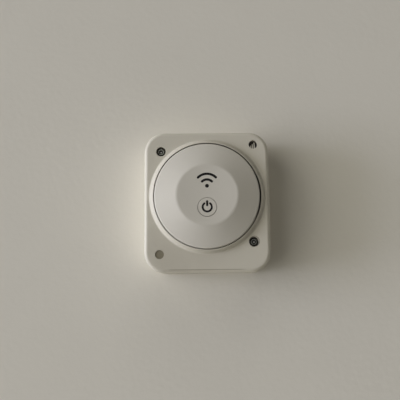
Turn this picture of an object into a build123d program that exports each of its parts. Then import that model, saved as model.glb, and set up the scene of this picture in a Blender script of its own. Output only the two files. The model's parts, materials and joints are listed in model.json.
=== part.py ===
"""Surface-mounted smart light switch: a rounded box with a round, dished cap and one power button.

The switch hangs on a wall. X runs to the right and Z up, as it is seen from the front.
The wall is the plane Y = 0, and the front faces -Y. All sizes are in millimetres.
A depth is a distance out from the wall, so depth 30 is the plane Y = -30.
"""

import os
from math import cos, hypot, radians, sin

from build123d import *

# Box
box_width = 80.0
box_height = 90.0
corner_radius = 13.0
wall = 2.4
rear_depth = 18.0  # the rear housing, from the wall to the joint line
cover_depth = 12.0  # the front cover, from the joint line to its face
face_fillet = 2.4
joint_bevel = 0.3  # on both sides of the joint line
back_bevel = 0.5
draft = 1.0  # degrees, on the sides of the front cover
lip_height = 2.0
lip_thickness = 1.1
lip_clearance = 0.15
cover_gasket_thickness = 0.8
fit_gap = 0.05
running_gap = 0.3

# Back of the box
back_recess = 0.8
back_rim = 5.0
back_rib = 1.6
fixing_spacing = 60.0
fixing_hole_radius = 2.3
fixing_pad_radius = 6.0
entry_inset = 15.0  # from the lower edge of the box up to the cable entry
entry_radius = 9.0
cable_radius = 4.0
grommet_overlap = 2.2
grommet_lip = 1.2
grommet_nose = 4.4
grommet_nose_wall = 1.2

# Cover screws, on a diagonal through the middle of the cap
screw_reach = 29.2  # sideways and upwards from the middle of the cap
screw_radius = 1.5
screw_head_radius = 2.6
screw_head_height = 2.4
screw_head_edge = 0.5
screw_head_sunk = 1.6
screw_length = 16.1
socket_width = 2.5  # across the flats
socket_depth = 1.4
well_clearance = 0.5
boss_wall = 1.1
boss_drop = 2.0  # from the joint line back to the joint between the bosses
boss_web = 1.6
insert_radius = 2.3
insert_length = 6.0
shank_clearance = 0.25
tip_clearance = 1.2

# The vent and the plug, from the nearest corner of the box
small_hole_radius = 2.8
vent_inset_x = 10.0
vent_inset_z = 8.4
vent_rib = 0.52
vent_rib_pitch = 1.15
vent_rib_shift = 0.3  # to the left of the hole's middle
vent_rib_rise = 0.5  # from the hole's middle up to the end of the middle rib
vent_rib_slope = 0.35
membrane_thickness = 0.6
membrane_lap = 0.4
vent_socket_depth = 2.0
vent_socket_wall = 1.0
plug_inset_x = 9.9
plug_inset_z = 11.5
plug_sunk = 0.45
plug_crown = 0.1
plug_flange = 1.0

# Round cap
cap_rise = 3.2  # from the middle of the box up to the middle of the cap
cap_radius = 33.55
cap_gap = 0.5
cap_play = (0.12, 0.05)  # the cap hangs this much to the left of and below the middle of its opening
cap_wall = 2.0
skirt_wall = 1.6
cap_edge_fillet = 1.2
dish_radius = 19.3
dish_height = 4.2  # from the edge of the cap out to the edge of the dish
dish_sag = 0.45
crest_round = 4.5
collar_height = 2.9
collar_brow = (0.8, 0.4)  # the gentle slope inside the steep one: out from the cap, then back
collar_width = 2.55
collar_round = 1.2
collar_foot_round = 1.2
seat_drop = 0.8
seat_width = 3.35
cap_gasket_thickness = 0.8
hook_count = 4
hook_width = 7.0
hook_thickness = 1.9
hook_bite = 0.8
hook_gap = 0.2
hook_height = 1.5
hook_clearance = 0.4

# Power button and the switch behind it
button_drop = 7.85  # from the middle of the cap down to the middle of the button
button_radius = 5.85
button_gap = 0.2
button_travel = 0.5
button_wall = 1.2
button_face = 1.6
button_edge = 0.12
button_stop_gap = 0.1
guide_wall = 1.3
flange_width = 1.05
flange_thickness = 0.9
stem_radius = 1.6
contact_gap = 0.03
switch_width = 6.2
switch_height = 3.5
switch_leg = (0.7, 1.0, 0.25)
switch_leg_spacing = 4.5
plunger_radius = 1.75
plunger_height = 0.8
plunger_sunk = 1.3
plunger_gap = 0.1

# Control board, screwed to the cap
board_thickness = 1.6
control_board_radius = 27.3
control_board_drop = 4.4  # from the end of the cap's skirt back to the board
board_boss_count = 3
board_boss_radius = 2.6
board_boss_reach = 23.5
board_screw_radius = 1.0
board_screw_head_radius = 2.2
board_screw_head_height = 1.6
board_screw_head_edge = 0.4
board_screw_length = 5.6
board_hole_clearance = 0.3
module_size = (16.0, 20.0, 0.8)
module_place = (-10.5, 8.8)  # from the middle of the cap
shield_size = (14.0, 13.5, 2.2)
shield_round = 0.5
chip_size = (10.0, 10.0, 1.4)
chip_place = (10.5, 8.8)  # from the middle of the cap
chip_bevel = 0.35

# Plug and socket between the two boards
pin_count = 5
pin_pitch = 2.54
pin_width = 0.64
pin_clearance = 0.13
pin_tail = 1.0
pin_hole_radius = 0.55
header_size = (2.5, 2.5)  # up the board, then out from it
link_socket_size = (2.8, 8.5)  # up the board, then back from it
pin_insertion = 6.1
pin_tip_gap = 0.4
link_drop = 2.5  # from the middle of the box

# Power board, screwed into the rear housing
standoff_height = 5.6
standoff_radius = 2.8
standoff_inset = 3.5
power_board_width = 48.0
power_board_height = 56.0
power_board_rise = 10.0  # from the middle of the box
power_board_corner = 2.0
relay_size = (10.4, 18.4, 12.2)
relay_place = (-16.8, 11.2)
relay_edge = 0.5
supply_size = (19.0, 26.0, 10.5)
supply_place = (12.5, 18.0)
supply_edge = 0.8
capacitor_radius = 4.0
capacitor_height = 11.0
capacitor_groove = 0.35
capacitor_place = (-16.0, 28.0)
fuse_radius = 4.2
fuse_height = 8.0
fuse_edge = 0.5
fuse_place = (-3.5, 16.0)
varistor_radius = 4.5
varistor_thickness = 3.6
varistor_edge = 0.9
varistor_lift = 1.0
varistor_place = (-4.0, 28.0)
lead_radius = 0.35
lead_spacing = 5.0

# Terminals, along the lower edge of the power board
terminal_count = 4
terminal_pitch = 5.0
terminal_wall = 0.6
terminal_depth = 10.0
terminal_height = 11.0
terminal_ledge = 1.0
clamp_width = 3.6
clamp_height = 4.2
clamp_length = 6.0
clamp_wall = 0.5
clamp_lift = 1.3
clamp_gap = 0.1
terminal_screw_radius = 1.2
terminal_screw_length = 4.0
terminal_head_radius = 1.9
terminal_head_height = 1.8
terminal_slot = (0.6, 0.7)  # wide, then deep

# Depths and places that follow from the sizes above
face = rear_depth + cover_depth
plate_back = face - wall
boss_joint = rear_depth - boss_drop
head_top = face - screw_head_sunk
head_seat = head_top - screw_head_height
screw_tip = head_seat - screw_length
well_radius = screw_head_radius + well_clearance
boss_radius = well_radius + boss_wall
lip_inset = wall - lip_thickness
grommet_radius = entry_radius + grommet_overlap
socket_radius = small_hole_radius + membrane_lap + fit_gap

collar_top = face + collar_height
bore_radius = cap_radius + cap_gap
collar_radius = bore_radius + collar_width
collar_foot = collar_radius + 0.62 * collar_foot_round
seat = face - seat_drop
seat_radius = bore_radius - seat_width
skirt_end = seat + cap_gasket_thickness
skirt_radius = cap_radius - skirt_wall
crest = collar_top + dish_height
dish_bottom = crest - dish_sag
dish_ball = (dish_radius**2 + dish_sag**2) / (2 * dish_sag)
cap_slope = dish_height / (cap_radius - dish_radius)
slope_wall = cap_wall * hypot(1, cap_slope)
ceiling = dish_bottom - cap_wall
ceiling_radius = cap_radius - (ceiling - collar_top + slope_wall) / cap_slope
skirt_top = collar_top + skirt_wall * cap_slope - slope_wall
hook_catch = plate_back - hook_gap
hook_end = hook_catch - hook_height
hook_radius = seat_radius - hook_clearance

control_board_front = skirt_end - control_board_drop
control_board_back = control_board_front - board_thickness
block_back = min(hook_end, control_board_front)
switch_front = control_board_front + switch_height
plunger_front = switch_front + plunger_height
plunger_back = switch_front - plunger_sunk
stem_end = plunger_front + contact_gap
guide_radius = button_radius + button_gap
flange_back = switch_front + button_travel + running_gap
flange_front = flange_back + flange_thickness
guide_end = flange_front + button_stop_gap

power_board_back = wall + standoff_height
power_board_front = power_board_back + board_thickness
link_socket_end = control_board_back - link_socket_size[1]
terminal_length = terminal_count * terminal_pitch + 2 * terminal_wall
terminal_low = power_board_rise - power_board_height / 2
terminal_front = power_board_front + terminal_height
clamp_back = power_board_front + clamp_lift
clamp_front = clamp_back + clamp_height
terminal_seat = clamp_front + clamp_gap + terminal_ledge
clamp_low = terminal_low + clamp_gap

cap_place = (0, cap_rise)
button_place = (0, cap_rise - button_drop)
opening_place = (cap_place[0] + cap_play[0], cap_place[1] + cap_play[1])
entry_place = (0, entry_inset - box_height / 2)
power_board_place = (0, power_board_rise)
cover_screw_places = [(-screw_reach, cap_rise + screw_reach), (screw_reach, cap_rise - screw_reach)]
vent_place = (box_width / 2 - vent_inset_x, box_height / 2 - vent_inset_z)
plug_place = (plug_inset_x - box_width / 2, plug_inset_z - box_height / 2)
standoff_x = power_board_width / 2 - standoff_inset
standoff_z = power_board_height / 2 - standoff_inset
standoff_places = [
    (side * standoff_x, power_board_rise + end * standoff_z) for side in (-1, 1) for end in (-1, 1)
]
board_boss_turns = [radians(90 + 360 / board_boss_count * i) for i in range(board_boss_count)]
board_boss_places = [
    (board_boss_reach * cos(turn), cap_rise + board_boss_reach * sin(turn)) for turn in board_boss_turns
]
pin_places = [((i - (pin_count - 1) / 2) * pin_pitch, -link_drop) for i in range(pin_count)]
terminal_places = [
    ((i - (terminal_count - 1) / 2) * terminal_pitch, terminal_low) for i in range(terminal_count)
]


def at(depth):
    """Return the plane parallel to the wall at a depth. Its X and Y are the object's X and Z."""
    return Plane.XZ.offset(depth)


def across(place, turn=0.0):
    """Return a plane through a line square to the wall. Its X runs away from the line, its Y outwards."""
    away = (cos(turn), 0, sin(turn))
    return Plane(origin=(place[0], 0, place[1]), x_dir=away, z_dir=(sin(turn), 0, -cos(turn)))


def line_at(place):
    """Return the line square to the wall at a place on it."""
    return Axis((place[0], 0, place[1]), (0, -1, 0))


def box_outline(inset=0.0, mode=Mode.ADD):
    """Draw the rounded outline of the box, moved in from its sides, inside a BuildSketch block."""
    RectangleRounded(box_width - 2 * inset, box_height - 2 * inset, corner_radius - inset, mode=mode)


def screw_section(tip, seat_depth, top, radius, head_radius, head_edge):
    """Draw half of a screw's section, with a bevelled head, inside a BuildSketch block."""
    outward = 1 if top > seat_depth else -1
    with BuildLine() as outline:
        Polyline(
            (0, tip),
            (radius * 0.7, tip),
            (radius, tip + (seat_depth - tip) * 0.06),
            (radius, seat_depth),
            (head_radius, seat_depth),
            (head_radius, top - outward * head_edge),
            (head_radius - head_edge, top),
            (0, top),
            close=True,
        )
    make_face(outline.edges())


# Rear housing: a tray with a lip for the cover, screw bosses, board pillars and a ribbed back
with BuildPart() as rear_housing:
    with BuildSketch(at(0)):
        box_outline()
    extrude(amount=rear_depth)
    chamfer(rear_housing.faces().sort_by(Axis.Y)[0].edges(), joint_bevel)
    chamfer(rear_housing.faces().sort_by(Axis.Y)[-1].edges(), back_bevel)
    with BuildSketch(at(rear_depth)):
        box_outline(lip_inset)
    extrude(amount=lip_height)
    with BuildSketch(at(wall)):
        box_outline(wall)
    extrude(amount=rear_depth + lip_height - wall, mode=Mode.SUBTRACT)
    # Bosses for the cover screws, each with a web to the wall beside it
    with BuildSketch(at(wall)):
        for x, z in cover_screw_places:
            side = 1 if x > 0 else -1
            reach = box_width / 2 - wall / 2 - abs(x)
            with Locations((x, z)):
                Circle(boss_radius)
            with Locations((x + side * reach / 2, z)):
                Rectangle(reach, boss_web)
    extrude(amount=boss_joint - wall)
    with BuildSketch(at(boss_joint)):
        with Locations(*cover_screw_places):
            Circle(screw_radius + shank_clearance)
    extrude(amount=screw_tip - tip_clearance - boss_joint, mode=Mode.SUBTRACT)
    with BuildSketch(at(boss_joint)):
        with Locations(*cover_screw_places):
            Circle(insert_radius)
    extrude(amount=-insert_length, mode=Mode.SUBTRACT)
    # Pillars for the power board
    with BuildSketch(at(wall)):
        with Locations(*standoff_places):
            Circle(standoff_radius)
    extrude(amount=standoff_height)
    with BuildSketch(at(power_board_back)):
        with Locations(*standoff_places):
            Circle(board_screw_radius + fit_gap)
    extrude(amount=-standoff_height, mode=Mode.SUBTRACT)
    # The back rests on a rim, two ribs and a pad round each wall screw
    with BuildSketch(at(0)):
        box_outline(back_rim)
        Rectangle(back_rib, box_height, mode=Mode.SUBTRACT)
        Rectangle(box_width, back_rib, mode=Mode.SUBTRACT)
        with GridLocations(fixing_spacing, 1, 2, 1):
            Circle(fixing_pad_radius, mode=Mode.SUBTRACT)
        with Locations(entry_place):
            Circle(grommet_radius + running_gap)
    extrude(amount=back_recess, mode=Mode.SUBTRACT)
    with BuildSketch(at(0)):
        with GridLocations(fixing_spacing, 1, 2, 1):
            Circle(fixing_hole_radius)
        with Locations(entry_place):
            Circle(entry_radius)
    extrude(amount=wall, mode=Mode.SUBTRACT)
    rear_housing.part.label = "rear_housing"

# Cable grommet: a soft ring that grips the edge of the entry, with a tapered nose inside the box
with BuildPart() as cable_grommet:
    with BuildSketch(across(entry_place)):
        with BuildLine():
            Polyline(
                (cable_radius, 0),
                (grommet_radius, 0),
                (grommet_radius, back_recess),
                (entry_radius - fit_gap, back_recess),
                (entry_radius - fit_gap, wall),
                (entry_radius + grommet_overlap / 2, wall),
                (entry_radius, wall + grommet_lip),
                (cable_radius + 2 * grommet_nose_wall, wall + grommet_lip),
                (cable_radius + grommet_nose_wall, wall + grommet_lip + grommet_nose),
                (cable_radius, wall + grommet_lip + grommet_nose),
                close=True,
            )
        make_face()
    revolve(axis=line_at(entry_place))
    cable_grommet.part.label = "cable_grommet"

# Brass inserts that take the cover screws
with BuildPart() as threaded_inserts:
    with BuildSketch(at(boss_joint)):
        with Locations(*cover_screw_places):
            Circle(insert_radius - fit_gap)
            Circle(screw_radius + fit_gap, mode=Mode.SUBTRACT)
    extrude(amount=-insert_length)
    threaded_inserts.part.label = "threaded_inserts"

# Rubber gasket on the lip of the rear housing
with BuildPart() as cover_gasket:
    with BuildSketch(at(rear_depth + lip_height)):
        box_outline(lip_inset)
        box_outline(wall, mode=Mode.SUBTRACT)
    extrude(amount=cover_gasket_thickness)
    cover_gasket.part.label = "cover_gasket"

# Front cover: the face with its collar, the seat for the cap, two screw wells, the vent and the plug hole
with BuildPart() as front_cover:
    with BuildSketch(at(rear_depth)):
        box_outline()
    extrude(amount=cover_depth, taper=draft)
    fillet(front_cover.faces().sort_by(Axis.Y)[0].edges(), face_fillet)
    chamfer(front_cover.faces().sort_by(Axis.Y)[-1].edges(), joint_bevel)
    # Hollow inside, with a wider step that takes the lip and its gasket
    with BuildSketch(at(rear_depth)):
        box_outline(wall)
    extrude(amount=cover_depth - wall, mode=Mode.SUBTRACT)
    with BuildSketch(at(rear_depth)):
        box_outline(lip_inset - lip_clearance)
    extrude(amount=lip_height + cover_gasket_thickness, mode=Mode.SUBTRACT)
    # Collar round the cap: a gentle slope, then a steep one with a hollow foot
    with BuildSketch(across(opening_place)):
        with BuildLine():
            Polyline(
                (skirt_radius, seat),
                (collar_foot, seat),
                (collar_foot, face),
                (collar_radius, face),
                (bore_radius + collar_brow[0], collar_top - collar_brow[1]),
                (bore_radius, collar_top),
                (skirt_radius, collar_top),
                close=True,
            )
        make_face()
        fillet(vertices().group_by(Axis.Y)[-2], collar_round)
        fillet(vertices().group_by(Axis.Y)[1].sort_by(Axis.X)[0], collar_foot_round)
    revolve(axis=line_at(opening_place))
    # Bosses for the cover screws, and the socket for the membrane behind the vent
    with BuildSketch(at(boss_joint)):
        with Locations(*cover_screw_places):
            Circle(boss_radius)
    extrude(amount=plate_back - boss_joint)
    with BuildSketch(at(plate_back)):
        with Locations(vent_place):
            Circle(socket_radius + vent_socket_wall)
            Circle(socket_radius, mode=Mode.SUBTRACT)
    extrude(amount=-vent_socket_depth)
    # Seat and opening for the cap
    with BuildSketch(at(seat)):
        with Locations(opening_place):
            Circle(bore_radius)
    extrude(amount=collar_top - seat, mode=Mode.SUBTRACT)
    with BuildSketch(at(plate_back)):
        with Locations(opening_place):
            Circle(seat_radius)
    extrude(amount=wall, mode=Mode.SUBTRACT)
    # Screw wells, with the holes for the shanks below them
    with BuildSketch(at(head_seat)):
        with Locations(*cover_screw_places):
            Circle(well_radius)
    extrude(amount=face - head_seat, mode=Mode.SUBTRACT)
    with BuildSketch(at(boss_joint)):
        with Locations(*cover_screw_places):
            Circle(screw_radius + shank_clearance)
    extrude(amount=head_seat - boss_joint, mode=Mode.SUBTRACT)
    # Vent and plug holes, then three ribs in the vent. They slope back from the face at their lower end,
    # and their upper ends lie on a slant.
    with BuildSketch(at(plate_back)):
        with Locations(vent_place, plug_place):
            Circle(small_hole_radius)
    extrude(amount=wall, mode=Mode.SUBTRACT)
    for step in (-1, 0, 1):
        aside = step * vent_rib_pitch - vent_rib_shift
        near_side = max(0, abs(aside) - vent_rib / 2)
        reach = (small_hole_radius**2 - near_side**2) ** 0.5 + fit_gap
        rise = vent_rib_rise + step * vent_rib_pitch
        rib_origin = (vent_place[0] + aside, 0, vent_place[1])
        with BuildSketch(Plane(origin=rib_origin, x_dir=(0, 0, 1), z_dir=(1, 0, 0))):
            with BuildLine():
                Polyline(
                    (-reach, face),
                    (-reach, plate_back),
                    (rise, plate_back),
                    (rise, face - vent_rib_slope * (reach + rise)),
                    close=True,
                )
            make_face()
        extrude(amount=vent_rib / 2, both=True)
    front_cover.part.label = "front_cover"

# Breathing membrane behind the vent
with BuildPart() as vent_membrane:
    with BuildSketch(at(plate_back)):
        with Locations(vent_place):
            Circle(small_hole_radius + membrane_lap)
    extrude(amount=-membrane_thickness)
    vent_membrane.part.label = "vent_membrane"

# Soft plug in the hole at the lower left, with a flange behind the face
with BuildPart() as hole_plug:
    with BuildSketch(across(plug_place)):
        with BuildLine():
            Polyline(
                (0, plate_back - plug_flange),
                (small_hole_radius + plug_flange, plate_back - plug_flange),
                (small_hole_radius + plug_flange, plate_back),
                (small_hole_radius - fit_gap, plate_back),
                (small_hole_radius - fit_gap, face - plug_sunk),
                (0, face - plug_sunk + plug_crown),
                close=True,
            )
        make_face()
    revolve(axis=line_at(plug_place))
    hole_plug.part.label = "hole_plug"

# Cover screws: bevelled heads with a hexagon socket
with BuildPart() as cover_screws:
    for place in cover_screw_places:
        with BuildSketch(across(place)):
            screw_section(screw_tip, head_seat, head_top, screw_radius, screw_head_radius, screw_head_edge)
        revolve(axis=line_at(place))
    with BuildSketch(at(head_top)):
        with Locations(*cover_screw_places):
            RegularPolygon(socket_width / 2, 6, major_radius=False)
    extrude(amount=-socket_depth, mode=Mode.SUBTRACT)
    cover_screws.part.label = "cover_screws"

# Flat ring under the skirt of the cap
with BuildPart() as cap_gasket:
    with BuildSketch(at(seat)):
        with Locations(cap_place):
            Circle(cap_radius)
            Circle(skirt_radius, mode=Mode.SUBTRACT)
    extrude(amount=cap_gasket_thickness)
    cap_gasket.part.label = "cap_gasket"

# The cap's outer form as a full block, with a dish cut by a large ball. It trims the cap and the button.
with BuildPart() as cap_block:
    with BuildSketch(across(cap_place)):
        with BuildLine():
            Polyline(
                (0, block_back),
                (cap_radius, block_back),
                (cap_radius, collar_top),
                (dish_radius, crest),
                (0, crest),
                close=True,
            )
        make_face()
        fillet(vertices().group_by(Axis.X)[-1].sort_by(Axis.Y)[-1], cap_edge_fillet)
    revolve(axis=line_at(cap_place))
    with Locations((cap_place[0], -(dish_bottom + dish_ball), cap_place[1])):
        Sphere(dish_ball, mode=Mode.SUBTRACT)
    fillet(cap_block.edges().sort_by(Axis.Y)[0], crest_round)

# Round cap: a sloping shoulder round a shallow dish, a skirt, a button guide, board bosses and snap hooks
with BuildPart() as round_cap:
    with BuildSketch(across(cap_place)):
        with BuildLine():
            Polyline(
                (0, ceiling),
                (ceiling_radius, ceiling),
                (skirt_radius, skirt_top),
                (skirt_radius, skirt_end),
                (cap_radius, skirt_end),
                (cap_radius, crest),
                (0, crest),
                close=True,
            )
        make_face()
    revolve(axis=line_at(cap_place))
    with BuildSketch(at(guide_end)):
        with Locations(button_place):
            Circle(guide_radius + guide_wall)
    extrude(amount=crest - guide_end)
    with BuildSketch(at(control_board_front)):
        with Locations(*board_boss_places):
            Circle(board_boss_radius)
    extrude(amount=crest - control_board_front)
    for i in range(hook_count):
        with BuildSketch(across(cap_place, radians(360 / hook_count * (i + 0.5)))):
            with BuildLine():
                Polyline(
                    (hook_radius - hook_thickness, crest),
                    (hook_radius - hook_thickness, hook_end),
                    (hook_radius, hook_end),
                    (seat_radius + hook_bite, hook_catch - hook_height / 2),
                    (seat_radius + hook_bite, hook_catch),
                    (hook_radius, hook_catch),
                    (hook_radius, crest),
                    close=True,
                )
            make_face()
        extrude(amount=hook_width / 2, both=True)
    add(cap_block.part, mode=Mode.INTERSECT)
    with BuildSketch(at(guide_end)):
        with Locations(button_place):
            Circle(guide_radius)
    extrude(amount=crest - guide_end, mode=Mode.SUBTRACT)
    with BuildSketch(at(control_board_front)):
        with Locations(*board_boss_places):
            Circle(board_screw_radius + fit_gap)
    extrude(amount=board_screw_length - board_thickness + running_gap, mode=Mode.SUBTRACT)
    round_cap.part.label = "round_cap"

# Power button: a hollow cap whose face follows the dish, with a stop flange and a stem in its middle
with BuildPart() as power_button:
    with BuildSketch(at(flange_back)):
        with Locations(button_place):
            Circle(button_radius + flange_width)
    extrude(amount=flange_thickness)
    with BuildSketch(at(flange_back)):
        with Locations(button_place):
            Circle(button_radius)
    extrude(amount=crest - flange_back)
    with BuildSketch(at(flange_back)):
        with Locations(button_place):
            Circle(button_radius - button_wall)
    extrude(amount=dish_bottom - button_face - flange_back, mode=Mode.SUBTRACT)
    with BuildSketch(at(stem_end)):
        with Locations(button_place):
            Circle(stem_radius)
    extrude(amount=dish_bottom - stem_end)
    add(cap_block.part, mode=Mode.INTERSECT)
    chamfer(power_button.faces().sort_by(Axis.Y)[0].edges(), button_edge)
    power_button.part.label = "power_button"

# Control board: round, with holes for its screws
with BuildPart() as control_board:
    with BuildSketch(at(control_board_back)):
        with Locations(cap_place):
            Circle(control_board_radius)
        with Locations(*board_boss_places):
            Circle(board_screw_radius + board_hole_clearance, mode=Mode.SUBTRACT)
    extrude(amount=board_thickness)
    control_board.part.label = "control_board"

# Screws that hold the control board to the cap
with BuildPart() as control_board_screws:
    for place in board_boss_places:
        with BuildSketch(across(place)):
            screw_section(
                control_board_back + board_screw_length,
                control_board_back,
                control_board_back - board_screw_head_height,
                board_screw_radius,
                board_screw_head_radius,
                board_screw_head_edge,
            )
        revolve(axis=line_at(place))
    control_board_screws.part.label = "control_board_screws"

# Body of the push switch on the control board
with BuildPart() as tact_switch:
    with BuildSketch(at(control_board_front)):
        with Locations(button_place):
            Rectangle(switch_width, switch_width)
    extrude(amount=switch_height)
    with BuildSketch(at(control_board_front)):
        with Locations(button_place):
            with GridLocations(1, switch_leg_spacing, 1, 2):
                Rectangle(switch_width + 2 * switch_leg[1], switch_leg[0])
    extrude(amount=switch_leg[2])
    with BuildSketch(at(switch_front)):
        with Locations(button_place):
            Circle(plunger_radius + plunger_gap)
    extrude(amount=-(plunger_sunk + button_travel + plunger_gap), mode=Mode.SUBTRACT)
    tact_switch.part.label = "tact_switch"

# Plunger of the push switch
with BuildPart() as switch_plunger:
    with BuildSketch(at(plunger_back)):
        with Locations(button_place):
            Circle(plunger_radius)
    extrude(amount=plunger_front - plunger_back)
    switch_plunger.part.label = "switch_plunger"

# Wireless module: a small board with a metal can over its radio
with BuildPart() as wireless_module:
    module_middle = (cap_place[0] + module_place[0], cap_place[1] + module_place[1])
    shield_drop = (module_size[1] - shield_size[1]) / 2 - shield_round
    shield_middle = (module_middle[0], module_middle[1] - shield_drop)
    with BuildSketch(at(control_board_front)):
        with Locations(module_middle):
            Rectangle(module_size[0], module_size[1])
    extrude(amount=module_size[2])
    with BuildSketch(at(control_board_front + module_size[2])):
        with Locations(shield_middle):
            RectangleRounded(shield_size[0], shield_size[1], shield_round)
    extrude(amount=shield_size[2])
    wireless_module.part.label = "wireless_module"

# Control chip
with BuildPart() as control_chip:
    with BuildSketch(at(control_board_front)):
        with Locations((cap_place[0] + chip_place[0], cap_place[1] + chip_place[1])):
            Rectangle(chip_size[0], chip_size[1])
    extrude(amount=chip_size[2])
    chamfer(control_chip.faces().sort_by(Axis.Y)[0].edges(), chip_bevel)
    control_chip.part.label = "control_chip"

# Socket on the back of the control board, with one slot for each pin
with BuildPart() as link_socket:
    with BuildSketch(at(link_socket_end)):
        with Locations((0, -link_drop)):
            Rectangle(pin_count * pin_pitch, link_socket_size[0])
    extrude(amount=link_socket_size[1])
    with BuildSketch(at(link_socket_end)):
        with Locations(*pin_places):
            Rectangle(pin_width + 2 * pin_clearance, pin_width + 2 * pin_clearance)
    extrude(amount=pin_insertion + pin_tip_gap, mode=Mode.SUBTRACT)
    link_socket.part.label = "link_socket"

# Long pins in their block on the power board
with BuildPart() as link_header:
    with BuildSketch(at(power_board_front)):
        with Locations((0, -link_drop)):
            Rectangle(pin_count * pin_pitch, header_size[0])
    extrude(amount=header_size[1])
    with BuildSketch(at(power_board_back - pin_tail)):
        with Locations(*pin_places):
            Rectangle(pin_width, pin_width)
    extrude(amount=link_socket_end + pin_insertion - power_board_back + pin_tail)
    link_header.part.label = "link_header"

# Power board, with holes for its screws and for the pins
with BuildPart() as power_board:
    with BuildSketch(at(power_board_back)):
        with Locations(power_board_place):
            RectangleRounded(power_board_width, power_board_height, power_board_corner)
        with Locations(*standoff_places):
            Circle(board_screw_radius + board_hole_clearance, mode=Mode.SUBTRACT)
        with Locations(*pin_places):
            Circle(pin_hole_radius, mode=Mode.SUBTRACT)
    extrude(amount=board_thickness)
    power_board.part.label = "power_board"

# Screws that hold the power board to its pillars
with BuildPart() as power_board_screws:
    for place in standoff_places:
        with BuildSketch(across(place)):
            screw_section(
                power_board_front - board_screw_length,
                power_board_front,
                power_board_front + board_screw_head_height,
                board_screw_radius,
                board_screw_head_radius,
                board_screw_head_edge,
            )
        revolve(axis=line_at(place))
    power_board_screws.part.label = "power_board_screws"

# Relay in its sealed case
with BuildPart() as relay:
    with BuildSketch(at(power_board_front)):
        with Locations(relay_place):
            Rectangle(relay_size[0], relay_size[1])
    extrude(amount=relay_size[2])
    chamfer(relay.edges().filter_by(Axis.Y) + relay.faces().sort_by(Axis.Y)[0].edges(), relay_edge)
    relay.part.label = "relay"

# Potted power supply
with BuildPart() as power_supply_module:
    with BuildSketch(at(power_board_front)):
        with Locations(supply_place):
            Rectangle(supply_size[0], supply_size[1])
    extrude(amount=supply_size[2])
    supply_sides = power_supply_module.edges().filter_by(Axis.Y)
    chamfer(supply_sides + power_supply_module.faces().sort_by(Axis.Y)[0].edges(), supply_edge)
    power_supply_module.part.label = "power_supply_module"

# Filter capacitor: a can with a rolled groove near its foot
with BuildPart() as filter_capacitor:
    with BuildSketch(across(capacitor_place)):
        with BuildLine():
            Polyline(
                (0, power_board_front),
                (capacitor_radius, power_board_front),
                (capacitor_radius, power_board_front + 2 * capacitor_groove),
                (capacitor_radius - capacitor_groove, power_board_front + 3 * capacitor_groove),
                (capacitor_radius, power_board_front + 4 * capacitor_groove),
                (capacitor_radius, power_board_front + capacitor_height - capacitor_groove),
                (capacitor_radius - capacitor_groove, power_board_front + capacitor_height),
                (0, power_board_front + capacitor_height),
                close=True,
            )
        make_face()
    revolve(axis=line_at(capacitor_place))
    filter_capacitor.part.label = "filter_capacitor"

# Round fuse
with BuildPart() as fuse:
    with BuildSketch(at(power_board_front)):
        with Locations(fuse_place):
            Circle(fuse_radius)
    extrude(amount=fuse_height)
    chamfer(fuse.faces().sort_by(Axis.Y)[0].edges(), fuse_edge)
    fuse.part.label = "fuse"

# Varistor: a coated disc that stands on two wires
with BuildPart() as surge_varistor:
    disc_depth = power_board_front + varistor_lift + varistor_radius
    disc_plane = Plane(
        origin=(varistor_place[0], -disc_depth, varistor_place[1]), x_dir=(1, 0, 0), z_dir=(0, 0, 1)
    )
    with BuildSketch(disc_plane):
        Circle(varistor_radius)
    extrude(amount=varistor_thickness / 2, both=True)
    chamfer(surge_varistor.edges().filter_by(GeomType.CIRCLE), varistor_edge)
    with BuildSketch(at(power_board_front)):
        with Locations(varistor_place):
            with GridLocations(lead_spacing, 1, 2, 1):
                Circle(lead_radius)
    extrude(amount=varistor_lift + varistor_radius)
    surge_varistor.part.label = "surge_varistor"

# Terminal block: one pocket and one screw shaft for each wire
with BuildPart() as terminal_block:
    with BuildSketch(at(power_board_front)):
        with Locations((0, terminal_low + terminal_depth / 2)):
            Rectangle(terminal_length, terminal_depth)
    extrude(amount=terminal_height)
    with BuildSketch(at(clamp_back - clamp_gap)):
        with Locations(*terminal_places):
            Rectangle(
                clamp_width + 2 * clamp_gap,
                clamp_length + 2 * clamp_gap,
                align=(Align.CENTER, Align.MIN),
            )
    extrude(amount=clamp_height + 2 * clamp_gap, mode=Mode.SUBTRACT)
    with BuildSketch(at(clamp_front)):
        with Locations(*[(x, z + clamp_gap + clamp_length / 2) for x, z in terminal_places]):
            Circle(terminal_screw_radius + shank_clearance)
    extrude(amount=terminal_seat - clamp_front, mode=Mode.SUBTRACT)
    with BuildSketch(at(terminal_seat)):
        with Locations(*[(x, z + clamp_gap + clamp_length / 2) for x, z in terminal_places]):
            Circle(terminal_head_radius + shank_clearance)
    extrude(amount=terminal_front - terminal_seat, mode=Mode.SUBTRACT)
    terminal_block.part.label = "terminal_block"

# Clamps: a metal box round each wire, threaded for its screw
with BuildPart() as terminal_clamps:
    for x, z in terminal_places:
        with BuildSketch(Plane.XY.offset(clamp_low)):
            with Locations((x, -(clamp_back + clamp_front) / 2)):
                Rectangle(clamp_width, clamp_height)
                Rectangle(clamp_width - 2 * clamp_wall, clamp_height - 2 * clamp_wall, mode=Mode.SUBTRACT)
        extrude(amount=clamp_length)
        with BuildSketch(at(clamp_front - clamp_wall)):
            with Locations((x, clamp_low + clamp_length / 2)):
                Circle(terminal_screw_radius + fit_gap)
        extrude(amount=clamp_wall, mode=Mode.SUBTRACT)
    terminal_clamps.part.label = "terminal_clamps"

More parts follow.
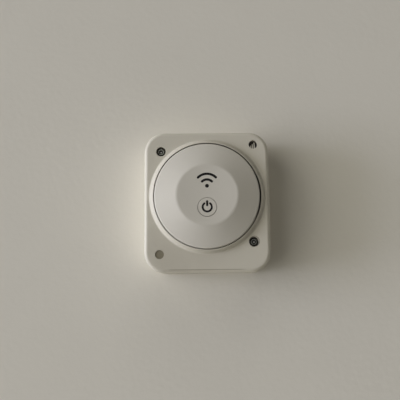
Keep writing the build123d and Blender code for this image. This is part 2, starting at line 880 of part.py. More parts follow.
# Terminal screws, each with a slot
with BuildPart() as terminal_screws:
    for x, z in terminal_places:
        place = (x, clamp_low + clamp_length / 2)
        with BuildSketch(across(place)):
            screw_section(
                terminal_seat - terminal_screw_length,
                terminal_seat,
                terminal_seat + terminal_head_height,
                terminal_screw_radius,
                terminal_head_radius,
                terminal_slot[0] / 2,
            )
        revolve(axis=line_at(place))
        with BuildSketch(at(terminal_seat + terminal_head_height)):
            with Locations(place):
                Rectangle(2 * terminal_head_radius, terminal_slot[0])
        extrude(amount=-terminal_slot[1], mode=Mode.SUBTRACT)
    terminal_screws.part.label = "terminal_screws"

os.makedirs("parts", exist_ok=True)
export_step(rear_housing.part, "parts/rear_housing.step")
export_step(cable_grommet.part, "parts/cable_grommet.step")
export_step(threaded_inserts.part, "parts/threaded_inserts.step")
export_step(cover_gasket.part, "parts/cover_gasket.step")
export_step(front_cover.part, "parts/front_cover.step")
export_step(vent_membrane.part, "parts/vent_membrane.step")
export_step(hole_plug.part, "parts/hole_plug.step")
export_step(cover_screws.part, "parts/cover_screws.step")
export_step(cap_gasket.part, "parts/cap_gasket.step")
export_step(round_cap.part, "parts/round_cap.step")
export_step(power_button.part, "parts/power_button.step")
export_step(control_board.part, "parts/control_board.step")
export_step(control_board_screws.part, "parts/control_board_screws.step")
export_step(tact_switch.part, "parts/tact_switch.step")
export_step(switch_plunger.part, "parts/switch_plunger.step")
export_step(wireless_module.part, "parts/wireless_module.step")
export_step(control_chip.part, "parts/control_chip.step")
export_step(link_socket.part, "parts/link_socket.step")
export_step(link_header.part, "parts/link_header.step")
export_step(power_board.part, "parts/power_board.step")
export_step(power_board_screws.part, "parts/power_board_screws.step")
export_step(relay.part, "parts/relay.step")
export_step(power_supply_module.part, "parts/power_supply_module.step")
export_step(filter_capacitor.part, "parts/filter_capacitor.step")
export_step(fuse.part, "parts/fuse.step")
export_step(surge_varistor.part, "parts/surge_varistor.step")
export_step(terminal_block.part, "parts/terminal_block.step")
export_step(terminal_clamps.part, "parts/terminal_clamps.step")
export_step(terminal_screws.part, "parts/terminal_screws.step")
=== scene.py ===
# %% [markdown]
# # A smart light switch on a wall
# The object is a rounded box in off-white plastic with a raised collar, a round cap with a sloping
# shoulder and a shallow dish, and one small power button in the dish. Its solids come ready made, at
# their real size and place. This lesson dresses them: it gives each piece its finish, prints the two
# signs on the cap, and sets the light and the camera as they were in the photograph.
# The frame is in metres. X runs right, Z runs up, and the wall is the plane Y = 0, so the front faces -Y.

# %% Load the frame
import json
from math import cos, pi, radians, sin

import bpy
import numpy as np
from mathutils import Matrix, Vector


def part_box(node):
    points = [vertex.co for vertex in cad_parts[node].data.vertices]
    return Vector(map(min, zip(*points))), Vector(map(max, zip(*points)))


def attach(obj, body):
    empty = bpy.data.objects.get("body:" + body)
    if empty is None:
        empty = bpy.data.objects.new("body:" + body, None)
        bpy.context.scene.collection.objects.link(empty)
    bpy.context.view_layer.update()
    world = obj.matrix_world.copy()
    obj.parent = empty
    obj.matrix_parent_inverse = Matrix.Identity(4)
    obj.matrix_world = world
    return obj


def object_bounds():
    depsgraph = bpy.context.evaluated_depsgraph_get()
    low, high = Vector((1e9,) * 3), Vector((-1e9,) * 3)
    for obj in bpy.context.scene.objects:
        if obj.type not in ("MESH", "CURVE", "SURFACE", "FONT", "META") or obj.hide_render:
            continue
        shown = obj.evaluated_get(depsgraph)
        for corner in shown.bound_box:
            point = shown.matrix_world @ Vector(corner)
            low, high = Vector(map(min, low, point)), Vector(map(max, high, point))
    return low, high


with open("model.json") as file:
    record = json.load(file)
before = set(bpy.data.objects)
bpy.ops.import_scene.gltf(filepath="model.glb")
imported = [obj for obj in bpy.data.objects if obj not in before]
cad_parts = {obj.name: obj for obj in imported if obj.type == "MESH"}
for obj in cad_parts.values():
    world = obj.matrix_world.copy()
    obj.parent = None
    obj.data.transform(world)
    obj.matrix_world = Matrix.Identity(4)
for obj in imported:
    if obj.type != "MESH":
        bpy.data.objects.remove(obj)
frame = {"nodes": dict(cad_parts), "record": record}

MM = 0.001
cad_low, cad_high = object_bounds()


def sides_in_mm(low, high):
    """The three sides of the box between two corners, in mm: the difference of the corners."""
    return [round((b - a) / MM, 2) for a, b in zip(low, high)]


print("CAD box in mm:", sides_in_mm(cad_low, cad_high))

# %% [markdown]
# ## Where things are
# A few places are read from the frame, so that they follow the solids: the middle of the round cap and
# the middle of the button. The face stands 30 mm off the wall, and the top of the collar 32.9 mm. The dish
# is part of a large ball. Its edge is 19.3 mm from the middle of the cap, 4.2 mm in front of the collar's
# top, and 0.45 mm further out than the bottom of the dish.

# %% Places and sizes
FACE = 30 * MM
COLLAR_TOP = 32.9 * MM
DISH_HEIGHT = 4.2 * MM
DISH_RADIUS = 19.3 * MM
DISH_SAG = 0.45 * MM


def middle_of(box):
    """X and Z of the middle of a box: halfway between its lowest and highest corner."""
    low, high = box
    return (low.x + high.x) / 2, (low.z + high.z) / 2


cap_x, cap_z = middle_of(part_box("round_cap"))
button_x, button_z = middle_of(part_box("power_button"))
dish_ball = (DISH_RADIUS**2 + DISH_SAG**2) / (2 * DISH_SAG)
dish_bottom = COLLAR_TOP + DISH_HEIGHT - DISH_SAG
print("middle of the cap in mm:", round(cap_x / MM, 2), round(cap_z / MM, 2))
print("radius of the dish's ball in mm:", round(dish_ball / MM))


def dish_y(x, z):
    """Y of the dish's surface: a ball of radius R, so it lies R - sqrt(R^2 - r^2) in front of its bottom."""
    squared = (x - cap_x) ** 2 + (z - cap_z) ** 2
    return -(dish_bottom + dish_ball - np.sqrt(dish_ball**2 - squared))


# %% [markdown]
# ## From a grid of points to a mesh
# A curved surface is a function of two parameters here, worked out for a whole grid at once. The grid's
# rows and columns then become four-sided faces. It could be drawn by hand as well, but this way the formula
# says the shape, and the numbering of its faces is written only once.

# %% Grid to mesh
def grid_faces(rows, columns):
    """Corner numbers of the faces between neighbours on a grid: (i, j), (i, j+1), (i+1, j+1), (i+1, j).

    The point in row i and column j has the number i * columns + j.
    """
    i = np.arange(rows - 1)[:, None]
    j = np.arange(columns - 1)[None, :]
    first = i * columns + j
    corners = [first, first + 1, first + columns + 1, first + columns]
    return np.stack(corners, axis=-1).reshape(-1, 4)


def mesh_piece(name, points, faces, smooth=True):
    """A new object at the origin whose mesh has these points, in metres, and these faces."""
    mesh = bpy.data.meshes.new(name)
    mesh.from_pydata(points.reshape(-1, 3), [], faces.tolist())
    mesh.polygons.foreach_set("use_smooth", np.full(len(mesh.polygons), smooth))
    mesh.update()
    piece = bpy.data.objects.new(name, mesh)
    bpy.context.scene.collection.objects.link(piece)
    return piece


print("a grid of 3 by 4 points has", len(grid_faces(3, 4)), "faces")

# %% [markdown]
# ## Shader nodes in few words
# A finish is a small network of nodes, and most of them are built alike: add one, set it, link a value in.
# These three helpers do that, so that the cells below say only what is special about a finish. The noise
# reads object coordinates, so its pattern stays with the piece when the piece or the camera moves.

# %% Helpers for shader nodes
def new_node(owner, kind, **settings):
    """Add a node to a material or world, and set its properties."""
    node = owner.node_tree.nodes.new("ShaderNode" + kind)
    for setting, value in settings.items():
        setattr(node, setting, value)
    return node


def combine(owner, operation, first, second):
    """Two values made into one by an operation of arithmetic; the second may be a plain number."""
    node = new_node(owner, "Math", operation=operation)
    owner.node_tree.links.new(first, node.inputs[0])
    if isinstance(second, float):
        node.inputs[1].default_value = second
    else:
        owner.node_tree.links.new(second, node.inputs[1])
    return node.outputs["Value"]


def noise(material, size, detail):
    """A noise pattern between 0 and 1, with patches of that size in metres."""
    pattern = new_node(material, "TexNoise")
    pattern.inputs["Scale"].default_value = 1 / size
    pattern.inputs["Detail"].default_value = detail
    place = new_node(material, "TexCoord").outputs["Object"]
    material.node_tree.links.new(place, pattern.inputs["Vector"])
    return pattern.outputs["Fac"]


# %% [markdown]
# ## Moulded plastic
# The box and the cap are injection-moulded. Such a surface is never one flat colour: the mould leaves a
# fine grain, the gloss varies a little where the plastic cooled faster, and the tone drifts slightly over
# the part as it ages. Each of these is one noise pattern: it mixes two tones, sets the roughness between two
# values, or lifts the surface by a few hundredths of a millimetre. One function makes every plain finish
# here, because they differ only in tone, grain and gloss.

# %% A finish with grain, drift and uneven gloss
DRIFT_DETAIL, FINE_DETAIL = 5, 3
GLOSS_FINER = 4


def finish(name, colour, drift, drift_size, grain, grain_size, rough, metal=0.0, shine=0.5):
    """A material whose tone drifts by a share of itself, with a fine grain and two limits of roughness.

    Sizes are in mm: the drift's and the grain's patch size, and the grain's height. The gloss varies in
    patches that are a quarter as wide as the drift's.
    """
    material = bpy.data.materials.new(name)
    material.use_nodes = True
    links = material.node_tree.links
    shader = material.node_tree.nodes["Principled BSDF"]
    shader.inputs["Metallic"].default_value = metal
    shader.inputs["Specular IOR Level"].default_value = shine

    tone = new_node(material, "Mix", data_type="RGBA")
    tone.inputs["A"].default_value = (*[c * (1 - drift) for c in colour], 1)
    tone.inputs["B"].default_value = (*[min(1, c * (1 + drift)) for c in colour], 1)
    links.new(noise(material, drift_size * MM, DRIFT_DETAIL), tone.inputs["Factor"])
    links.new(tone.outputs["Result"], shader.inputs["Base Color"])

    gloss = new_node(material, "MapRange")
    gloss.inputs["To Min"].default_value, gloss.inputs["To Max"].default_value = rough
    links.new(noise(material, drift_size / GLOSS_FINER * MM, FINE_DETAIL), gloss.inputs["Value"])
    links.new(gloss.outputs["Result"], shader.inputs["Roughness"])

    bump = new_node(material, "Bump")
    bump.inputs["Distance"].default_value = grain * MM
    links.new(noise(material, grain_size * MM, FINE_DETAIL), bump.inputs["Height"])
    links.new(bump.outputs["Normal"], shader.inputs["Normal"])
    return material


# %% [markdown]
# ## The finishes by name
# The box is a warmer and rougher white than the cap, as in the photograph. The plug and the gaskets are
# matt rubber, and the screws blackened steel. The boards inside are varnished green laminate, and the metal
# on them is brass or bright plated steel. Each node of the frame has a slot, and the slot's name picks the
# finish, so no node is named here and a new piece with a known slot is dressed by itself.

# %% The finishes, and each node's own
finishes = {
    "housing_white": finish("housing_white", (0.64, 0.611, 0.526), 0.03, 30, 0.02, 0.6, (0.42, 0.55)),
    "cap_white": finish("cap_white", (0.66, 0.635, 0.57), 0.02, 30, 0.008, 0.5, (0.36, 0.46)),
    "plug_beige": finish("plug_beige", (0.24, 0.215, 0.155), 0.08, 3, 0.02, 0.4, (0.7, 0.85)),
    "grey_rubber": finish("grey_rubber", (0.09, 0.09, 0.085), 0.10, 6, 0.02, 0.4, (0.65, 0.8)),
    "membrane": finish("membrane", (0.055, 0.05, 0.046), 0.2, 0.5, 0.05, 0.2, (0.85, 0.95)),
    "dark_steel": finish("dark_steel", (0.03, 0.029, 0.027), 0.15, 1.5, 0.01, 0.15, (0.28, 0.45), 0.9),
    "zinc_steel": finish("zinc_steel", (0.55, 0.56, 0.57), 0.05, 3, 0.005, 0.2, (0.25, 0.4), 1.0),
    "can_steel": finish("can_steel", (0.62, 0.62, 0.60), 0.04, 5, 0.005, 0.3, (0.25, 0.38), 1.0),
    "brass": finish("brass", (0.72, 0.52, 0.25), 0.06, 3, 0.01, 0.3, (0.25, 0.4), 1.0),
    "contact_brass": finish("contact_brass", (0.74, 0.62, 0.38), 0.05, 3, 0.005, 0.3, (0.2, 0.35), 1.0),
    "board_green": finish("board_green", (0.03, 0.16, 0.08), 0.08, 8, 0.01, 0.8, (0.25, 0.35)),
    "black_plastic": finish("black_plastic", (0.02, 0.02, 0.021), 0.1, 8, 0.015, 0.4, (0.4, 0.55)),
    "relay_blue": finish("relay_blue", (0.03, 0.12, 0.36), 0.05, 8, 0.01, 0.5, (0.3, 0.4)),
    "capacitor_can": finish("capacitor_can", (0.55, 0.56, 0.58), 0.05, 4, 0.004, 0.3, (0.25, 0.35), 1.0),
    "varistor_blue": finish("varistor_blue", (0.05, 0.15, 0.30), 0.06, 4, 0.02, 0.8, (0.3, 0.45)),
    "terminal_green": finish("terminal_green", (0.04, 0.28, 0.14), 0.05, 6, 0.01, 0.5, (0.4, 0.5)),
}
slots = {entry["node"]: entry["material_slot"] for entry in frame["record"]["subparts"]}
for node, solid in frame["nodes"].items():
    solid.data.materials.clear()
    solid.data.materials.append(finishes[slots[node]])
print("finishes:", len(finishes), "on", len(slots), "nodes")

# %% [markdown]
# ## Marks of use, painted shade and painted highlights
# Dust, wear, painted shade and painted highlights are too thin to be shapes, so each is a mask between
# 0 and 1 that mixes another colour into a finish. A mask could be painted by hand. Here it is worked out
# from places on the object, because dirt gathers, and shade and highlights fall, where the shape lets them:
# in a groove, at an edge, round a socket. A ring depends on the distance from a line square to the wall,
# which is the length of (X - x, 0, Z - z). Masks multiplied together leave only the place where all of them
# hold.

# %% Masks from places
PATCH_DETAIL = 4


def ramp(material, value, start, end):
    """A mask that rises smoothly from 0 to 1 while the value goes from start to end."""
    node = new_node(material, "MapRange", interpolation_type="SMOOTHSTEP")
    node.inputs["From Min"].default_value, node.inputs["From Max"].default_value = start, end
    material.node_tree.links.new(value, node.inputs["Value"])
    return node.outputs["Result"]


def along_axis(material, axis, start, end):
    """A mask that rises from 0 to 1 while one coordinate, "X", "Y" or "Z", goes from start to end."""
    parts = new_node(material, "SeparateXYZ")
    place = new_node(material, "TexCoord").outputs["Object"]
    material.node_tree.links.new(place, parts.inputs["Vector"])
    return ramp(material, parts.outputs[axis], start, end)


def ring(material, middle, radius, width, soft):
    """A mask that is 1 on a ring round a line square to the wall, with soft edges; radius 0 gives a disc.

    It falls from 1 to 0 while the distance from the ring's circle goes from width / 2 - soft to
    width / 2 + soft.
    """
    links = material.node_tree.links
    away = new_node(material, "VectorMath", operation="SUBTRACT")
    away.inputs[1].default_value = (middle[0], 0, middle[1])
    links.new(new_node(material, "TexCoord").outputs["Object"], away.inputs[0])
    flat = new_node(material, "VectorMath", operation="MULTIPLY")
    flat.inputs[1].default_value = (1, 0, 1)
    links.new(away.outputs["Vector"], flat.inputs[0])
    length = new_node(material, "VectorMath", operation="LENGTH")
    links.new(flat.outputs["Vector"], length.inputs[0])
    past_middle = combine(material, "SUBTRACT", length.outputs["Value"], radius)
    from_ring = combine(material, "ABSOLUTE", past_middle, 0.0)
    return ramp(material, from_ring, width / 2 + soft, width / 2 - soft)


def patches(material, size, low, high):
    """A mask with soft patches of a size in metres: noise that is cut between two levels."""
    return ramp(material, noise(material, size, PATCH_DETAIL), low, high)


# %% Masks together, and a mark
def all_of(material, *masks):
    """The product of several masks: 1 only where each of them is 1."""
    product = masks[0]
    for mask in masks[1:]:
        product = combine(material, "MULTIPLY", product, mask)
    return product


def mark(material, mask, strength, colour):
    """Mix a colour into a finish: the new tone is old + mask * strength * (colour - old)."""
    links, base = material.node_tree.links, material.node_tree.nodes["Principled BSDF"].inputs["Base Color"]
    mix = new_node(material, "Mix", data_type="RGBA")
    links.new(base.links[0].from_socket, mix.inputs["A"])
    mix.inputs["B"].default_value = (*colour, 1)
    links.new(combine(material, "MULTIPLY", mask, strength), mix.inputs["Factor"])
    links.new(mix.outputs["Result"], base)


# %% [markdown]
# ## Dust and painted shade in the gaps
# The groove between the cap and its collar is brown, partly from dust and partly from painted shade, and
# more so towards the right, where it lies in shade; at the far right a painted shade makes it almost black.
# The two walls of the groove belong to two finishes, so both get the mark. The mark ends at the groove's
# bottom, or it would come out at the back of the box. The gap round the button has painted shade in its
# lower half.

# %% Dust and painted shade round the cap
GROOVE_RADIUS, GROOVE_WIDTH, GROOVE_SOFT = 33.8 * MM, 1.0 * MM, 0.15 * MM
GROOVE_DEPTH, BOTTOM_FADE = 4.5 * MM, 0.5 * MM
BROWN_EDGE, BROWN_FULL = 0.3 * MM, 1.5 * MM
BROWN_FADE, GROOVE_SHADE_FADE = (-15 * MM, 15 * MM), (28 * MM, 34 * MM)
BROWN_DUST_AND_SHADE, GROOVE_SHADE = (0.12, 0.085, 0.05), (0.025, 0.017, 0.01)


def in_groove(depth):
    """Y of a place that lies that deep behind the collar's top."""
    return depth - COLLAR_TOP


for slot in ("housing_white", "cap_white"):
    white = finishes[slot]
    groove = all_of(
        white,
        ring(white, (cap_x, cap_z), GROOVE_RADIUS, GROOVE_WIDTH, GROOVE_SOFT),
        along_axis(white, "Y", in_groove(GROOVE_DEPTH), in_groove(GROOVE_DEPTH - BOTTOM_FADE)),
    )
    below_its_edge = along_axis(white, "Y", in_groove(BROWN_EDGE), in_groove(BROWN_FULL))
    to_the_right = along_axis(white, "X", *BROWN_FADE)
    # Brown in the groove: dust, and painted shade that grows towards the right.
    mark(white, all_of(white, groove, below_its_edge, to_the_right), 0.8, BROWN_DUST_AND_SHADE)
    # Almost black at the far right: painted shade in the groove.
    mark(white, all_of(white, groove, along_axis(white, "X", *GROOVE_SHADE_FADE)), 0.95, GROOVE_SHADE)
print("radius of the dusty groove in mm:", round(GROOVE_RADIUS / MM, 2))

# %% Painted shade round the button
BUTTON_GAP_RADIUS, BUTTON_GAP_WIDTH, BUTTON_GAP_SOFT = 5.95 * MM, 0.5 * MM, 0.05 * MM
UNSHADED_ABOVE, UNSHADED_RIGHT, SHADED_LEFT = 4.5 * MM, 6.2 * MM, 4.5 * MM
BUTTON_GAP_SHADE = (0.10, 0.08, 0.06)
cap_finish = finishes["cap_white"]
button_gap = all_of(
    cap_finish,
    ring(cap_finish, (button_x, button_z), BUTTON_GAP_RADIUS, BUTTON_GAP_WIDTH, BUTTON_GAP_SOFT),
    along_axis(cap_finish, "Z", button_z + UNSHADED_ABOVE, button_z),
    along_axis(cap_finish, "X", button_x + UNSHADED_RIGHT, button_x + SHADED_LEFT),
)
# Painted shade in the lower part of the gap round the button.
mark(cap_finish, button_gap, 0.6, BUTTON_GAP_SHADE)
print("radius of the button's dusty gap in mm:", round(BUTTON_GAP_RADIUS / MM, 2))

# %% [markdown]
# ## Marks on the face
# The lower left of the face is a little grey, in soft patches. A thin dark line of painted shade runs along
# its lower edge and fades out before the corners. A crescent of painted shade darkens the upper right of the
# lower screw's well. The mask of that shade has no limit in depth, so a thin ring of it also shows on the
# back of the box, which is a known fault. A mask along Y, as the groove has, would end it.

# %% Grey corner
CORNER_REACH, CORNER_SOFT, GREY_PATCH = 80 * MM, 40 * MM, 25 * MM
NO_GREY, ALL_GREY = 0.25, 0.6
BEHIND_FACE = 2 * MM
CORNER_GREY = (0.38, 0.34, 0.27)
box_finish = finishes["housing_white"]
near_corner = ring(box_finish, (cad_low[0], cad_low[2]), 0.0, CORNER_REACH, CORNER_SOFT)
on_the_face = along_axis(box_finish, "Y", BEHIND_FACE - FACE, -FACE)
corner_grey = all_of(box_finish, near_corner, on_the_face, patches(box_finish, GREY_PATCH, NO_GREY, ALL_GREY))
# The face turns a little grey, in soft patches, towards its lower left corner.
mark(box_finish, corner_grey, 0.3, CORNER_GREY)
print("grey up to this far from the corner, in mm:", round((CORNER_REACH / 2 + CORNER_SOFT) / MM))

# %% Line of painted shade
LINE_RISE, LINE_REACH = 1.9 * MM, 26 * MM
LINE_EDGE, LINE_CORE = 0.28 * MM, 0.12 * MM
LEFT_FADE, RIGHT_FADE, BEVEL_FADE = 4 * MM, 8 * MM, 1 * MM
LINE_SHADE = (0.16, 0.12, 0.07)
line_z = cad_low[2] + LINE_RISE
shaded_line = all_of(
    box_finish,
    along_axis(box_finish, "Z", line_z - LINE_EDGE, line_z - LINE_CORE),
    along_axis(box_finish, "Z", line_z + LINE_EDGE, line_z + LINE_CORE),
    along_axis(box_finish, "X", -LINE_REACH, LEFT_FADE - LINE_REACH),
    along_axis(box_finish, "X", LINE_REACH, LINE_REACH - RIGHT_FADE),
    along_axis(box_finish, "Y", BEHIND_FACE - FACE, BEHIND_FACE - BEVEL_FADE - FACE),
)
# A dark brown line of painted shade along the lower edge of the face.
mark(box_finish, shaded_line, 0.64, LINE_SHADE)
print("height of the dirty line in mm:", round(line_z / MM, 2))

# %% Painted shade round a well
SCREW_REACH = 29.2 * MM
WELL_RADIUS, WELL_SHADE_WIDTH, WELL_SHADE_SOFT, WELL_SHADE_ASIDE = 3.1 * MM, 0.6 * MM, 0.15 * MM, 0.3 * MM
WELL_SHADE = (0.10, 0.09, 0.07)
well_shade_middle = (cap_x + SCREW_REACH + WELL_SHADE_ASIDE, cap_z - SCREW_REACH + WELL_SHADE_ASIDE)
well_shade = ring(box_finish, well_shade_middle, WELL_RADIUS, WELL_SHADE_WIDTH, WELL_SHADE_SOFT)
# A crescent of painted shade at the upper right of the lower screw's well.
mark(box_finish, well_shade, 0.6, WELL_SHADE)
print("middle of the grime in mm:", [round(place / MM, 1) for place in well_shade_middle])

# %% [markdown]
# ## Worn screws, with painted highlights
# The two screws are blackened steel with a hexagon socket. Round the socket a ring of bare steel is partly
# wear, where the key turns, and partly a painted highlight where the rim of the socket catches the light; it
# is stronger on the upper left screw than on the lower right one. A noise pattern breaks the ring up,
# because wear is never even. A painted glint, a small bright spot of bare metal, sits at the bottom of each
# socket.

# %% Wear and painted highlights round the sockets
BARE_RIM_AND_HIGHLIGHT, SOCKET_GLINT = (0.50, 0.52, 0.46), (0.62, 0.61, 0.58)
RIM_RADIUS, RIM_WIDTH, RIM_AND_GLINT_SOFT, RIM_PATCH = 1.6 * MM, 0.45 * MM, 0.1 * MM, 1.1 * MM
RIM_OFF, RIM_FULL = 0.38, 0.56
screw_finish = finishes["dark_steel"]
upper_left = {"side": -1, "rim_wear_and_highlight": 0.85, "glint_aside": 0.0, "glint_width": 0.9 * MM}
lower_right = {"side": 1, "rim_wear_and_highlight": 0.35, "glint_aside": 0.25 * MM, "glint_width": 0.8 * MM}
for screw in (upper_left, lower_right):
    x, z = cap_x + screw["side"] * SCREW_REACH, cap_z - screw["side"] * SCREW_REACH
    rim = ring(screw_finish, (x, z), RIM_RADIUS, RIM_WIDTH, RIM_AND_GLINT_SOFT)
    worn_and_highlighted = all_of(screw_finish, rim, patches(screw_finish, RIM_PATCH, RIM_OFF, RIM_FULL))
    # Bare steel round the socket: wear, and a painted highlight.
    mark(screw_finish, worn_and_highlighted, screw["rim_wear_and_highlight"], BARE_RIM_AND_HIGHLIGHT)
    point = ring(screw_finish, (x + screw["glint_aside"], z), 0.0, screw["glint_width"], RIM_AND_GLINT_SOFT)
    # A painted glint at the bottom of the socket.
    mark(screw_finish, point, 0.9, SOCKET_GLINT)
    print("screw in mm:", round(x / MM, 1), round(z / MM, 1))

# %% [markdown]
# ## The printed signs
# The signs are black ink, pad-printed on the dish: a dot under two arcs for the radio link, and the usual
# broken ring with a bar for power on the button. They could be a pattern in the finish, but a film of ink
# keeps its edge sharp at any distance. A stroke with round ends is a simple surface: go along its centre
# line, and on each side take half its width, which shrinks along a quarter circle past each end. The film
# is sunk 0.02 mm into the plastic and stands 0.02 mm proud.

# %% A stroke with round ends
ACROSS, ALONG = 9, 65
THINNEST = 0.02


def stroke(line, half_length, half_width):
    """Points of a stroke as (x, z) pairs: line(s, t) places a point s along the line and t to its side.

    Past each end by p, the half width w becomes sqrt(w^2 - p^2), which is a quarter circle on each side.
    It stays above a small share of w, so that the points at the tip don't fall together.
    """
    turn = np.linspace(-pi / 2, pi / 2, ALONG)
    s = (half_length + half_width) * np.sin(turn)
    past = np.clip(np.abs(s) - half_length, 0, half_width)
    width = np.sqrt(np.maximum(half_width**2 - past**2, (THINNEST * half_width) ** 2))
    t = np.linspace(-1, 1, ACROSS)
    return line(s[:, None] + 0 * t, width[:, None] * t)


print("points in a stroke:", ALONG * ACROSS)


# %% Lines that a stroke can follow
def arc_line(middle, radius, start):
    """A line bent round a middle: s is measured along the arc from the angle start, and t outwards.

    So the place has the angle start - s / radius and the distance radius + t from the middle.
    """
    def place(s, t):
        angle = start - s / radius
        return middle[0] + (radius + t) * np.cos(angle), middle[1] + (radius + t) * np.sin(angle)
    return place


def flat_line(middle, turn):
    """A straight line through a middle: s runs along it at that angle from X, and t to its left."""
    def place(s, t):
        return middle[0] + s * cos(turn) - t * sin(turn), middle[1] + s * sin(turn) + t * cos(turn)
    return place


# %% Ink on the dish
INK = 0.04 * MM
ink = finish("ink_black", (0.012, 0.011, 0.011), 0.15, 2, 0.004, 0.3, (0.6, 0.8), shine=0.15)


def print_stroke(name, points, body):
    """Lay a stroke on the dish as a film of ink, and let it move with a body."""
    x, z = points
    surface = np.stack([x, dish_y(x, z), z], axis=-1)
    piece = mesh_piece(name, surface, grid_faces(*x.shape))
    film = piece.modifiers.new("film", "SOLIDIFY")
    film.thickness, film.offset = INK, 0
    piece.data.materials.append(ink)
    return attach(piece, body)


print("thickness of the ink in mm:", round(INK / MM, 2))

# %% [markdown]
# ## The radio sign
# It is printed on the fixed cap, above the button: two arcs of a quarter turn round one foot, and a dot just
# above that foot. The dot is a stroke with no length, so only its two round ends are left.

# %% Two arcs and a dot
foot = (cap_x, cap_z + 5.2 * MM)
ARC_HALF_TURN, ARC_HALF_WIDTH = radians(45), 0.75 * MM
for name, radius in (("outer", 7.9 * MM), ("inner", 4.3 * MM)):
    arc = arc_line(foot, radius, pi / 2)
    print_stroke("signal_" + name, stroke(arc, radius * ARC_HALF_TURN, ARC_HALF_WIDTH), "housing")

DOT_RISE, DOT_RADIUS = 5.5 * MM, 1.2 * MM
print_stroke("signal_dot", stroke(flat_line((cap_x, cap_z + DOT_RISE), 0), 0, DOT_RADIUS), "housing")
print("foot of the arcs in mm:", round(foot[0] / MM, 2), round(foot[1] / MM, 2))

# %% [markdown]
# ## The power sign
# It is printed on the button and moves with it: a ring that is open at the top, and a bar that stands in the
# opening. The button's face is cut by the same ball as the dish, so the same surface carries the ink.

# %% Ring and bar
RING_RADIUS, RING_HALF_WIDTH, HALF_OPENING = 2.85 * MM, 0.62 * MM, 38
BAR_RISE, BAR_HALF_LENGTH, BAR_HALF_WIDTH = 2.35 * MM, 1.15 * MM, 0.7 * MM
power_arc = arc_line((button_x, button_z), RING_RADIUS, -pi / 2)
half_ring = RING_RADIUS * radians(180 - HALF_OPENING)
print_stroke("power_ring", stroke(power_arc, half_ring, RING_HALF_WIDTH), "power_button")
upright = flat_line((button_x, button_z + BAR_RISE), pi / 2)
print_stroke("power_bar", stroke(upright, BAR_HALF_LENGTH, BAR_HALF_WIDTH), "power_button")
print("middle of the button in mm:", round(button_x / MM, 2), round(button_z / MM, 2))

# %% [markdown]
# ## The stage
# The switch hangs on a plain pale wall, which takes its soft shadow. Seen from behind, the wall would hide
# the back of the box, so it shows only from the front and lets every lamp's light through from behind.
# A plain floor lies below the picture. The wall stands 0.4 mm behind the back of the box, so that the two
# never share a plane.

# %% Wall and floor
WALL_COLOUR = (0.76, 0.735, 0.665)
WALL_Y = 0.4 * MM
HALF_STAGE, TOP, BOTTOM = 0.85, 1.1, -1.1


def sheet(name, corners):
    """A flat stage surface with a faint plaster grain, clear from behind and for the lamps' light."""
    piece = mesh_piece(name, np.array(corners, float), np.array([[0, 1, 2, 3]]), smooth=False)
    material = finish(name, WALL_COLOUR, 0.02, 40, 0.12, 4, (0.8, 0.9))
    behind = new_node(material, "NewGeometry").outputs["Backfacing"]
    shadow = new_node(material, "LightPath").outputs["Is Shadow Ray"]
    clear, mix = new_node(material, "BsdfTransparent"), new_node(material, "MixShader")
    nodes, links = material.node_tree.nodes, material.node_tree.links
    links.new(combine(material, "MAXIMUM", behind, shadow), mix.inputs["Fac"])
    links.new(nodes["Principled BSDF"].outputs["BSDF"], mix.inputs[1])
    links.new(clear.outputs["BSDF"], mix.inputs[2])
    links.new(mix.outputs["Shader"], nodes["Material Output"].inputs["Surface"])
    piece.data.materials.append(material)


wall_corners = ((-1, BOTTOM), (1, BOTTOM), (1, TOP), (-1, TOP))
sheet("wall", [(side * HALF_STAGE, WALL_Y, z) for side, z in wall_corners])
floor_corners = ((-1, -1), (1, -1), (1, 1), (-1, 1))
sheet("floor", [(side * HALF_STAGE, depth * HALF_STAGE, BOTTOM) for side, depth in floor_corners])
print("wall in metres:", 2 * HALF_STAGE, "wide and", TOP - BOTTOM, "high")

# %% [markdown]
# ## Light
# In the photograph cool daylight comes from the left and almost skims the wall, 78 degrees off its normal,
# so the slopes that face left are the brightest. A broad, warmer light from the front left brings the face
# to half its own colour. Fainter ones from the left above, the left below and from above round off the long
# soft shadow on the right. Two more lamps behind the wall's plane light the right side and the back, for
# other views, and can't reach the face. Those that light the wall stand far off, so they light it evenly.

# %% Lamps
DAYLIGHT, BOUNCED, NEUTRAL = (0.84, 0.86, 1.0), (1.0, 0.97, 0.88), (1, 1, 1)
FAR, NEAR = 9.0, 2.0


def lamp(name, direction, distance, size, level, colour=BOUNCED):
    """An area lamp aimed at the switch. At level 1 a surface that faces it shows its own colour.

    That takes level * pi^2 * distance^2 watts. A lamp behind the wall's plane gives no gloss, because seen
    from the front it would only be glare.
    """
    data = bpy.data.lights.new(name, "AREA")
    data.shape, data.size, data.color = "DISK", size, colour
    data.energy = level * pi**2 * distance**2
    lamp_object = bpy.data.objects.new(name, data)
    bpy.context.scene.collection.objects.link(lamp_object)
    toward = Vector(direction).normalized()
    lamp_object.location = toward * distance
    lamp_object.rotation_euler = toward.to_track_quat("Z", "Y").to_euler()
    lamp_object.visible_glossy = toward.y < 0
    print("lamp", name, "of", round(data.energy, 1), "watts")


lamp("skimming", (-0.98, -0.21, 0), FAR, 4.95, 0.83, DAYLIGHT)
lamp("front_left", (-0.65, -0.76, 0), FAR, 7.2, 0.275)
lamp("left_high", (-0.75, -0.43, 0.5), FAR, 4.95, 0.14)
lamp("left_low", (-0.75, -0.43, -0.5), FAR, 4.95, 0.08)
lamp("above", (0, -0.4, 1), FAR, 6.3, 0.125)
lamp("right_side", (1, 0.38, 0.25), NEAR, 0.5, 0.12)
lamp("back", (-0.3, 1, 0.6), NEAR, 0.6, 0.5, NEUTRAL)

# %% [markdown]
# ## The room
# The walls of a room send back a little light from everywhere, which keeps the deepest shadows open. What
# the camera, and any gloss or glass, sees of the room is a plain grey instead. One background can't be
# both, so two are mixed by the kind of ray.

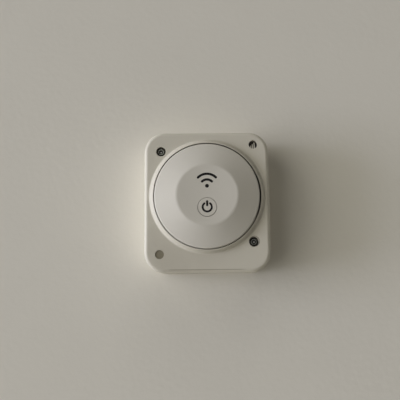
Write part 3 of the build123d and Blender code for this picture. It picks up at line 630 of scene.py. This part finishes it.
# %% World
ROOM_LIGHT, ROOM_LEVEL, ROOM_GREY = (1, 0.93, 0.82, 1), 0.035, (0.45, 0.44, 0.42, 1)
world = bpy.data.worlds.new("room")
bpy.context.scene.world = world
world.use_nodes = True
nodes, links = world.node_tree.nodes, world.node_tree.links
dim, seen = nodes["Background"], new_node(world, "Background")
dim.inputs["Color"].default_value = ROOM_LIGHT
dim.inputs["Strength"].default_value = ROOM_LEVEL
seen.inputs["Color"].default_value = ROOM_GREY
seen.inputs["Strength"].default_value = 1.0
path, choose = new_node(world, "LightPath"), new_node(world, "MixShader")
seen_by = path.outputs["Is Camera Ray"]
for kind in ("Is Glossy Ray", "Is Transmission Ray"):
    seen_by = combine(world, "MAXIMUM", seen_by, path.outputs[kind])
links.new(seen_by, choose.inputs["Fac"])
links.new(dim.outputs["Background"], choose.inputs[1])
links.new(seen.outputs["Background"], choose.inputs[2])
links.new(choose.outputs["Shader"], nodes["World Output"].inputs["Surface"])
print("room light:", ROOM_LEVEL)

# %% [markdown]
# ## Camera
# The camera was worked out from the outline of the box and the circles of the cap: it stands 386 mm from
# the wall and 53 mm below the middle of the box, and looks up by 8.6 degrees. A camera looks along its own
# -Z. The matrix that is written last works first: it is a quarter turn round X, which points the camera at
# the wall. The three small turns before it are in radians.

# %% Camera
IMAGE_SIZE = 400
FOCAL_PIXELS = 567.45
SENSOR = 36
CAMERA_PLACE = (-5.70 * MM, -385.73 * MM, -52.93 * MM)
ASIDE, UPWARD, LEANING = -0.0036, 0.1498, 0.0097
camera = bpy.data.objects.new("camera", bpy.data.cameras.new("camera"))
bpy.context.scene.collection.objects.link(camera)
camera.data.sensor_width = SENSOR
camera.data.lens = FOCAL_PIXELS / IMAGE_SIZE * SENSOR
camera.data.clip_start, camera.data.clip_end = 0.01, 10
camera.matrix_world = (
    Matrix.Translation(CAMERA_PLACE)
    @ Matrix.Rotation(ASIDE, 4, "Z")
    @ Matrix.Rotation(UPWARD, 4, "X")
    @ Matrix.Rotation(LEANING, 4, "Y")
    @ Matrix.Rotation(pi / 2, 4, "X")
)
bpy.context.scene.camera = camera
bpy.context.scene.view_settings.view_transform = "Standard"
print("lens in mm:", round(camera.data.lens, 2))
